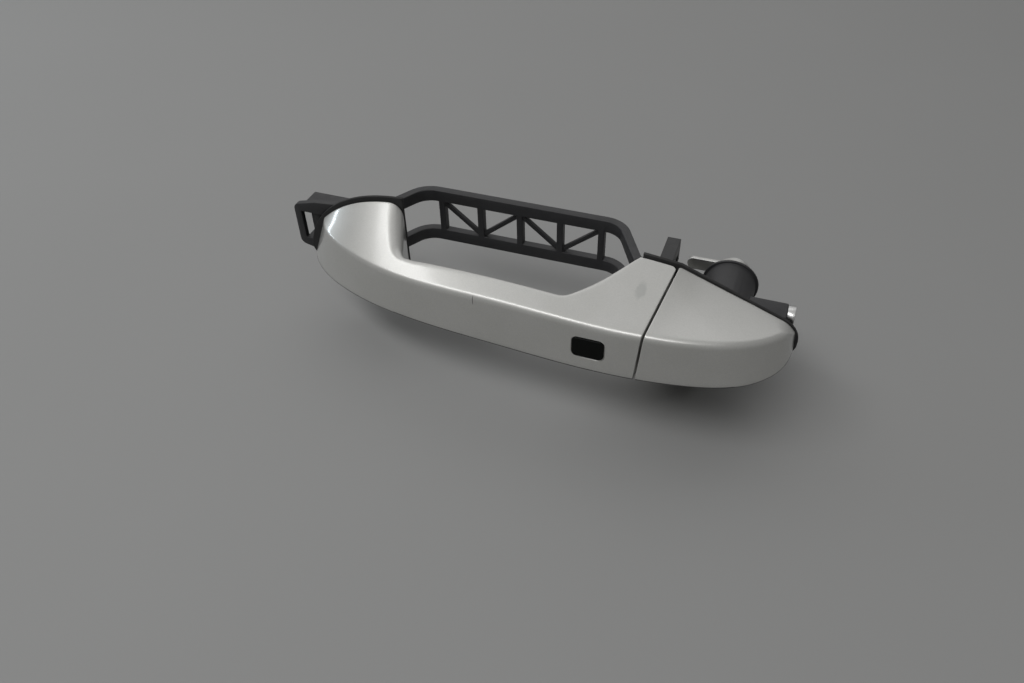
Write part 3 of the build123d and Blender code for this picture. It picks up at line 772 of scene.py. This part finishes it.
rounding = {  # width of the rounding in millimetres
    "grip_back": 0.25, "front_pad": 0.3, "rear_pad": 0.3, "carrier": 0.35, "lock_cylinder": 0.3,
    "lock_tail": 0.25, "fixing_screw": 0.25, "crank_pin": 0.25, "bell_crank": 0.35,
    "counterweight": 0.4,
}
inner_parts = {node: rounded_copy(node, node + "_rounded", width)
               for node, width in rounding.items()}

# %% [markdown]
# The return spring winds up when the crank turns. Its wire is a tube of rings along a helix with
# two straight legs, between the carrier, which holds one leg, and the crank. A curve with a round
# bevel would do as well, but rings give even faces.

# %% Return spring
HUB_Y, HUB_Z = 11.5, -25.5 + RISE
SPRING_X, SPRING_R, SPRING_LEAD, SPRING_TURNS, WIRE_R = 57.0, 6.5, 1.9, 3, 0.8
PLATE, LEG_LONG, TURN_STEPS = 3.0, 12.0, 28


def spring_path():
    """Centre line of the wire, in the frame's millimetres, from the crank's leg to the plate."""
    turns = np.linspace(0, 2 * pi * SPRING_TURNS, TURN_STEPS * SPRING_TURNS + 1)
    coil = np.stack([SPRING_X + SPRING_LEAD * turns / (2 * pi), HUB_Y - SPRING_R * np.sin(turns),
                     HUB_Z + SPRING_R * np.cos(turns)], 1)
    way = (coil[1] - coil[0]) / np.linalg.norm(coil[1] - coil[0])
    first = [coil[0] - way * reach for reach in (LEG_LONG, LEG_LONG - 0.3, 6.0, 1.0)]
    last_reach = HUB_Y - PLATE - 0.1
    last = [coil[-1] + way * reach for reach in (1.0, 4.0, last_reach - 0.3, last_reach)]
    return np.vstack([first, coil, last])


def wire_rings(path, radius, sides=12):
    """Rings round a path that keep their turn from point to point; the ends are drawn in."""
    rings, side = [], np.array([0.0, 0.0, 1.0])
    for index, point in enumerate(path):
        way = path[min(index + 1, len(path) - 1)] - path[max(index - 1, 0)]
        way /= np.linalg.norm(way)
        side = side - way * (side @ way)
        side /= np.linalg.norm(side)
        other = np.cross(way, side)
        grown = radius * (0.72 if index in (0, len(path) - 1) else 1.0)
        rings.append([(point + grown * (cos(a) * side + sin(a) * other)) / 1000
                      for a in np.linspace(0, 2 * pi, sides, endpoint=False)])
    return rings


spring = smooth(ring_piece("return_spring_wire", wire_rings(spring_path(), WIRE_R)), 50)

# %% [markdown]
# Finishes are built from small groups, each one effect: flakes, grain, wear on edges, dust, and a
# soft spot at one place. A group is made once and used in many materials with its own values. They
# all read Object coordinates, so that nothing slides when a piece moves.

# %% Node group tools
def new_group(name, inputs, outputs):
    tree = bpy.data.node_groups.new(name, "ShaderNodeTree")
    for label, kind, value in inputs:
        made = tree.interface.new_socket(name=label, in_out="INPUT", socket_type=kind)
        made.default_value = value
    for label, kind in outputs:
        tree.interface.new_socket(name=label, in_out="OUTPUT", socket_type=kind)
    return tree, tree.nodes.new("NodeGroupInput"), tree.nodes.new("NodeGroupOutput")


def add_node(tree, kind, settings=None, **values):
    """Adds a node. Values are numbers, colours or other nodes' outputs, each by the name of an
    input, or by an i and the input's number where names repeat."""
    made = tree.nodes.new(kind)
    for name, value in (settings or {}).items():
        setattr(made, name, value)
    for name, value in values.items():
        key = int(name[1:]) if name[0] == "i" and name[1:].isdigit() else name.replace("_", " ")
        if isinstance(value, bpy.types.NodeSocket):
            tree.links.new(value, made.inputs[key])
        else:
            made.inputs[key].default_value = value
    return made


def maths(tree, operation, a, b=0.0, c=0.0):
    return add_node(tree, "ShaderNodeMath", {"operation": operation}, i0=a, i1=b,
                    i2=c).outputs[0]


def ramp(tree, value, low, high, to_low=0.0, to_high=1.0):
    """Smooth step of a value from one range to another."""
    return add_node(tree, "ShaderNodeMapRange", {"interpolation_type": "SMOOTHSTEP"}, Value=value,
                    From_Min=low, From_Max=high, To_Min=to_low, To_Max=to_high).outputs["Result"]


def blend_colour(tree, factor, one, two):
    made = add_node(tree, "ShaderNodeMix", {"data_type": "RGBA"}, Factor=factor)
    for key, value in (("A", one), ("B", two)):
        if isinstance(value, bpy.types.NodeSocket):
            tree.links.new(value, made.inputs[key])
        else:
            made.inputs[key].default_value = (*value, 1)
    return made.outputs["Result"]


FLOAT, VECTOR = "NodeSocketFloat", "NodeSocketVector"


# %% Flakes: cells that are a little lighter or darker
def flake_group():
    tree, into, out = new_group("flakes", [("Scale", FLOAT, 2600.0), ("Contrast", FLOAT, 0.05)],
                                [("Tone", FLOAT), ("Height", FLOAT)])
    place = add_node(tree, "ShaderNodeTexCoord").outputs["Object"]
    cells = add_node(tree, "ShaderNodeTexVoronoi", Vector=place, Scale=into.outputs["Scale"])
    level = add_node(tree, "ShaderNodeSeparateColor", Color=cells.outputs["Color"]).outputs[0]
    swing = maths(tree, "MULTIPLY", maths(tree, "SUBTRACT", level, 0.5), into.outputs["Contrast"])
    tree.links.new(maths(tree, "ADD", swing, 1.0), out.inputs["Tone"])
    tree.links.new(level, out.inputs["Height"])
    return tree


# %% Grain: the fine texture of a moulding or a casting
def grain_group():
    tree, into, out = new_group("grain", [("Scale", FLOAT, 1500.0), ("Drift", FLOAT, 60.0)],
                                [("Height", FLOAT), ("Cloud", FLOAT)])
    place = add_node(tree, "ShaderNodeTexCoord").outputs["Object"]
    fine = add_node(tree, "ShaderNodeTexNoise", Vector=place, Scale=into.outputs["Scale"],
                    Detail=3.0, Roughness=0.6).outputs["Fac"]
    cells = add_node(tree, "ShaderNodeTexVoronoi", {"feature": "SMOOTH_F1"}, Vector=place,
                     Scale=into.outputs["Scale"]).outputs["Distance"]
    cloud = add_node(tree, "ShaderNodeTexNoise", Vector=place, Scale=into.outputs["Drift"],
                     Detail=4.0, Roughness=0.55).outputs["Fac"]
    tree.links.new(maths(tree, "MULTIPLY_ADD", cells, 0.6, fine), out.inputs["Height"])
    tree.links.new(cloud, out.inputs["Cloud"])
    return tree


# %% Wear: edges that have been touched and rubbed
def wear_group():
    tree, into, out = new_group("edge_wear", [("Amount", FLOAT, 0.5), ("Scale", FLOAT, 220.0)],
                                [("Mask", FLOAT)])
    point = add_node(tree, "ShaderNodeNewGeometry").outputs["Pointiness"]
    place = add_node(tree, "ShaderNodeTexCoord").outputs["Object"]
    patch = add_node(tree, "ShaderNodeTexNoise", Vector=place, Scale=into.outputs["Scale"],
                     Detail=5.0).outputs["Fac"]
    mask = maths(tree, "MULTIPLY", ramp(tree, point, 0.51, 0.58), ramp(tree, patch, 0.4, 0.62))
    tree.links.new(maths(tree, "MULTIPLY", mask, into.outputs["Amount"]), out.inputs["Mask"])
    return tree


# %% Dust: settles on what faces up
def dust_group():
    tree, into, out = new_group("dust", [("Amount", FLOAT, 0.3), ("Scale", FLOAT, 90.0)],
                                [("Mask", FLOAT)])
    normal = add_node(tree, "ShaderNodeNewGeometry").outputs["Normal"]
    rise = add_node(tree, "ShaderNodeSeparateXYZ", Vector=normal).outputs["Z"]
    place = add_node(tree, "ShaderNodeTexCoord").outputs["Object"]
    patch = add_node(tree, "ShaderNodeTexNoise", Vector=place, Scale=into.outputs["Scale"],
                     Detail=6.0, Roughness=0.65).outputs["Fac"]
    mask = maths(tree, "MULTIPLY", ramp(tree, rise, 0.1, 0.95), ramp(tree, patch, 0.35, 0.7))
    tree.links.new(maths(tree, "MULTIPLY", mask, into.outputs["Amount"]), out.inputs["Mask"])
    return tree


# %% Spot: a soft mark at one place
def spot_group():
    inputs = [("Centre", VECTOR, (0, 0, 0)), ("Size", VECTOR, (1, 1, 1)), ("Ragged", FLOAT, 0.3)]
    tree, into, out = new_group("spot", inputs, [("Mask", FLOAT)])
    place = add_node(tree, "ShaderNodeTexCoord").outputs["Object"]
    away = add_node(tree, "ShaderNodeVectorMath", {"operation": "SUBTRACT"}, i0=place,
                    i1=into.outputs["Centre"]).outputs[0]
    share = add_node(tree, "ShaderNodeVectorMath", {"operation": "DIVIDE"}, i0=away,
                     i1=into.outputs["Size"]).outputs[0]
    reach = add_node(tree, "ShaderNodeVectorMath", {"operation": "LENGTH"},
                     i0=share).outputs["Value"]
    patch = add_node(tree, "ShaderNodeTexNoise", Vector=place, Scale=420.0,
                     Detail=3.0).outputs["Fac"]
    swing = maths(tree, "MULTIPLY", maths(tree, "SUBTRACT", patch, 0.5), into.outputs["Ragged"])
    tree.links.new(ramp(tree, maths(tree, "ADD", reach, swing), 1.0, 0.55), out.inputs["Mask"])
    return tree


GROUPS = {"flakes": flake_group(), "grain": grain_group(), "edge_wear": wear_group(),
          "dust": dust_group(), "spot": spot_group()}
print("node groups", sorted(GROUPS))


def use(tree, name, **values):
    return add_node(tree, "ShaderNodeGroup", {"node_tree": GROUPS[name]}, **values)


# %% [markdown]
# The paint is a warm pearl silver: a base with fine flakes, partly metallic, under clear coat. The
# base is rather rough, which gives the broad sheen on the top, and the coat is nearly sharp, which
# gives the thin bright line along the ridge. A dull smudge sits on the rear foot and a short
# scratch on the ridge of the strap.

# %% Paint
def new_material(name, rough=0.5, metal=0.0, coat=0.0):
    finish = bpy.data.materials.new(name)
    finish.use_nodes = True
    shader = finish.node_tree.nodes["Principled BSDF"]
    shader.inputs["Roughness"].default_value = rough
    shader.inputs["Metallic"].default_value = metal
    shader.inputs["Coat Weight"].default_value = coat
    return finish, finish.node_tree, shader


SMUDGE, SCRATCH = place_of(48.2, 17.5, 15.8), place_of(-18.6, 35.6, 7.2)


def paint_finish():
    finish, tree, shader = new_material("paint", metal=0.40, coat=1.0)
    shader.inputs["Coat Roughness"].default_value = 0.12
    flakes = use(tree, "flakes", Scale=3000.0, Contrast=0.07)
    grain = use(tree, "grain", Scale=700.0, Drift=45.0)
    silver = blend_colour(tree, ramp(tree, grain.outputs["Cloud"], 0.3, 0.7),
                          (0.600, 0.598, 0.570), (0.625, 0.622, 0.597))
    toned = add_node(tree, "ShaderNodeVectorMath", {"operation": "SCALE"}, i0=silver,
                     Scale=flakes.outputs["Tone"]).outputs[0]
    smudge = use(tree, "spot", Centre=tuple(SMUDGE), Size=(0.0026, 0.0052, 0.0060),
                 Ragged=0.9).outputs["Mask"]
    scratch = use(tree, "spot", Centre=tuple(SCRATCH), Size=(0.00028, 0.0040, 0.0026),
                  Ragged=0.2).outputs["Mask"]
    dulled = blend_colour(tree, maths(tree, "MULTIPLY", smudge, 0.75), toned, (0.47, 0.475, 0.455))
    marked = blend_colour(tree, maths(tree, "MULTIPLY", scratch, 0.8), dulled, (0.10, 0.10, 0.10))
    tree.links.new(marked, shader.inputs["Base Color"])
    rough = ramp(tree, grain.outputs["Cloud"], 0.25, 0.75, 0.35, 0.40)
    tree.links.new(maths(tree, "MULTIPLY_ADD", smudge, 0.12, rough), shader.inputs["Roughness"])
    relief = add_node(tree, "ShaderNodeBump", Strength=0.05, Distance=0.0001,
                      Height=flakes.outputs["Height"]).outputs["Normal"]
    tree.links.new(relief, shader.inputs["Normal"])
    return finish


# %% [markdown]
# The hidden parts are glass-filled nylon, rubber, acetal, zinc and steel. One recipe serves them
# all with its own values: two tones clouded together, grain in the relief, rubbed edges and dust.

# %% Moulded, cast and turned parts
def made_finish(name, dark, light, rough, metal=0.0, grain_scale=1500.0, relief=0.25, wear=0.4,
                worn=(0.2, 0.2, 0.2), dust=0.2, gloss=0.5):
    finish, tree, shader = new_material(name, metal=metal)
    shader.inputs["Specular IOR Level"].default_value = gloss
    grain = use(tree, "grain", Scale=grain_scale, Drift=70.0)
    cloud = ramp(tree, grain.outputs["Cloud"], 0.3, 0.7)
    colour = blend_colour(tree, cloud, dark, light)
    edges = use(tree, "edge_wear", Amount=wear, Scale=240.0).outputs["Mask"]
    colour = blend_colour(tree, edges, colour, worn)
    settled = use(tree, "dust", Amount=dust, Scale=110.0).outputs["Mask"]
    colour = blend_colour(tree, settled, colour, (0.30, 0.28, 0.25))
    tree.links.new(colour, shader.inputs["Base Color"])
    spread = ramp(tree, grain.outputs["Cloud"], 0.2, 0.8, rough - 0.06, rough + 0.06)
    spread = maths(tree, "MULTIPLY_ADD", edges, -0.12, spread)
    tree.links.new(maths(tree, "MULTIPLY_ADD", settled, 0.3, spread), shader.inputs["Roughness"])
    bump = add_node(tree, "ShaderNodeBump", Strength=relief, Distance=0.00012,
                    Height=grain.outputs["Height"]).outputs["Normal"]
    tree.links.new(bump, shader.inputs["Normal"])
    return finish


# %% Recipes of the finishes
recipes = {
    "black_plastic": dict(
        dark=(0.016, 0.016, 0.017), light=(0.022, 0.022, 0.023), rough=0.46,
        grain_scale=1900.0, wear=0.2, worn=(0.06, 0.06, 0.06), dust=0.015),
    "button": dict(
        dark=(0.0010, 0.0016, 0.0014), light=(0.0018, 0.0024, 0.0021), rough=0.42,
        grain_scale=2600.0, relief=0.06, wear=0.3, worn=(0.02, 0.02, 0.02), dust=0.0, gloss=0.14),
    "pad_rubber": dict(
        dark=(0.010, 0.010, 0.010), light=(0.015, 0.015, 0.015), rough=0.72,
        grain_scale=1300.0, relief=0.3, wear=0.3, worn=(0.05, 0.05, 0.05), dust=0.02),
    "carrier_plastic": dict(
        dark=(0.025, 0.025, 0.027), light=(0.030, 0.030, 0.032), rough=0.52,
        grain_scale=1400.0, relief=0.3, wear=0.3, worn=(0.09, 0.09, 0.09), dust=0.02),
    "zinc": dict(
        dark=(0.50, 0.50, 0.49), light=(0.62, 0.62, 0.60), rough=0.44, metal=1.0,
        grain_scale=900.0, relief=0.22, wear=0.7, worn=(0.80, 0.80, 0.78), dust=0.10),
    "steel": dict(
        dark=(0.55, 0.55, 0.55), light=(0.66, 0.66, 0.65), rough=0.30, metal=1.0,
        grain_scale=2400.0, relief=0.08, wear=0.5, worn=(0.82, 0.82, 0.80), dust=0.05),
    "crank_plastic": dict(
        dark=(0.50, 0.49, 0.44), light=(0.60, 0.59, 0.54), rough=0.42,
        grain_scale=1100.0, relief=0.12, wear=0.2, worn=(0.72, 0.71, 0.67), dust=0.12),
    "spring_steel": dict(
        dark=(0.30, 0.30, 0.31), light=(0.42, 0.42, 0.43), rough=0.32, metal=1.0,
        grain_scale=2800.0, relief=0.12, wear=0.4, worn=(0.60, 0.60, 0.60), dust=0.05),
}
finishes = {"paint": paint_finish()}
for name, recipe in recipes.items():
    finishes[name] = made_finish(name, **recipe)
print("finishes", sorted(finishes))

# %% [markdown]
# A piece moves with the body that carries its node. Most pieces replace the plain node that they
# were made for, while the hair lines are additions and replace nothing. The spring's mesh is baked
# in place, and no body carries it.

# %% Pieces on their bodies, the spring in place, all in their finishes
slot_of = {part["node"]: part["material_slot"] for part in frame["record"]["subparts"]}
body_of = {node: body for body, nodes in frame["record"]["behaviour"]["bodies"].items()
           for node in nodes}
pieces = {"grip_shell": grip, "cap": cap, "request_button": button, **inner_parts}
for node, piece in pieces.items():
    piece.data.materials.append(finishes[slot_of[node]])
    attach(piece, body_of[node])
    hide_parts(node)
for body, line in keel_core_and_shadow_lines.items():
    line.data.materials.append(finishes["black_plastic"])
    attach(line, body)
spring.data.materials.append(finishes["spring_steel"])
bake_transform(spring)
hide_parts("return_spring")
for node, part in frame["nodes"].items():
    part.data.materials.clear()
    part.data.materials.append(finishes[slot_of[node]])
print(len(pieces) + 1, "pieces placed")

# %% [markdown]
# Four soft lamps stand in for daylight. A large one overhead and one behind light the top, a wide
# flat strip draws the bright line along the ridge, and a small cool one gives the front corner its
# glint. The outer face is left to the floor and the backdrop, so that it stays the darker side.

# %% Floor
FLOOR_WIDE, FLOOR_GAP = 6.0, 0.0005
bpy.ops.mesh.primitive_plane_add(size=FLOOR_WIDE, location=(0, 0, cad_box[0][2] - FLOOR_GAP))
floor = bpy.context.object
floor.name = "floor"
bpy.ops.object.transform_apply(location=True)
floor_finish, floor_tree, floor_shader = new_material("floor", rough=0.85)
floor_grain = use(floor_tree, "grain", Scale=300.0, Drift=3.0)
floor_tree.links.new(blend_colour(floor_tree, floor_grain.outputs["Cloud"], (0.36, 0.36, 0.355),
                                  (0.39, 0.39, 0.385)), floor_shader.inputs["Base Color"])
floor.data.materials.append(floor_finish)


# %% Lamps
def lamp(name, place, wide, high, power, colour=(1, 1, 1), aim=(0.0, 0.0, 0.0)):
    data = bpy.data.lights.new(name, "AREA")
    data.energy, data.color, data.shape = power, colour, "RECTANGLE"
    data.size, data.size_y = wide, high
    light = bpy.data.objects.new(name, data)
    bpy.context.scene.collection.objects.link(light)
    facing = (Vector(aim) - Vector(place)).to_track_quat("-Z", "Y").to_matrix().to_4x4()
    light.matrix_world = Matrix.Translation(place) @ facing
    print("lamp", name, power, "W")


lamp("sky", (-0.30, -0.1, 1.5), 3.4, 2.4, 7.0)
lamp("behind", (-0.48, 1.0, 1.0), 3.2, 1.8, 7.5)
lamp("ridge", (-0.34, -0.66, 1.30), 1.8, 0.35, 8.5)
lamp("glint", (-1.15, 0.04, 0.29), 0.32, 0.05, 0.8, colour=(0.82, 0.92, 1.0),
     aim=(-0.09, -0.02, 0.035))

# %% [markdown]
# The backdrop looks brighter to the camera and in reflections than the light that it gives. Light
# Path tells the rays apart, so the object isn't washed out.

# %% Backdrop
SEEN, GIVEN = 0.22, 0.03
world = bpy.data.worlds.new("world")
bpy.context.scene.world = world
world.use_nodes = True
backdrop = world.node_tree
rays = add_node(backdrop, "ShaderNodeLightPath").outputs
seen = maths(backdrop, "ADD", maths(backdrop, "ADD", rays["Is Camera Ray"], rays["Is Glossy Ray"]),
             rays["Is Transmission Ray"])
level = maths(backdrop, "MULTIPLY_ADD", maths(backdrop, "MINIMUM", seen, 1.0), SEEN, GIVEN)
backdrop.links.new(level, backdrop.nodes["Background"].inputs["Strength"])
backdrop.nodes["Background"].inputs["Color"].default_value = (1, 1, 1, 1)
bpy.context.scene.view_settings.view_transform = "Standard"
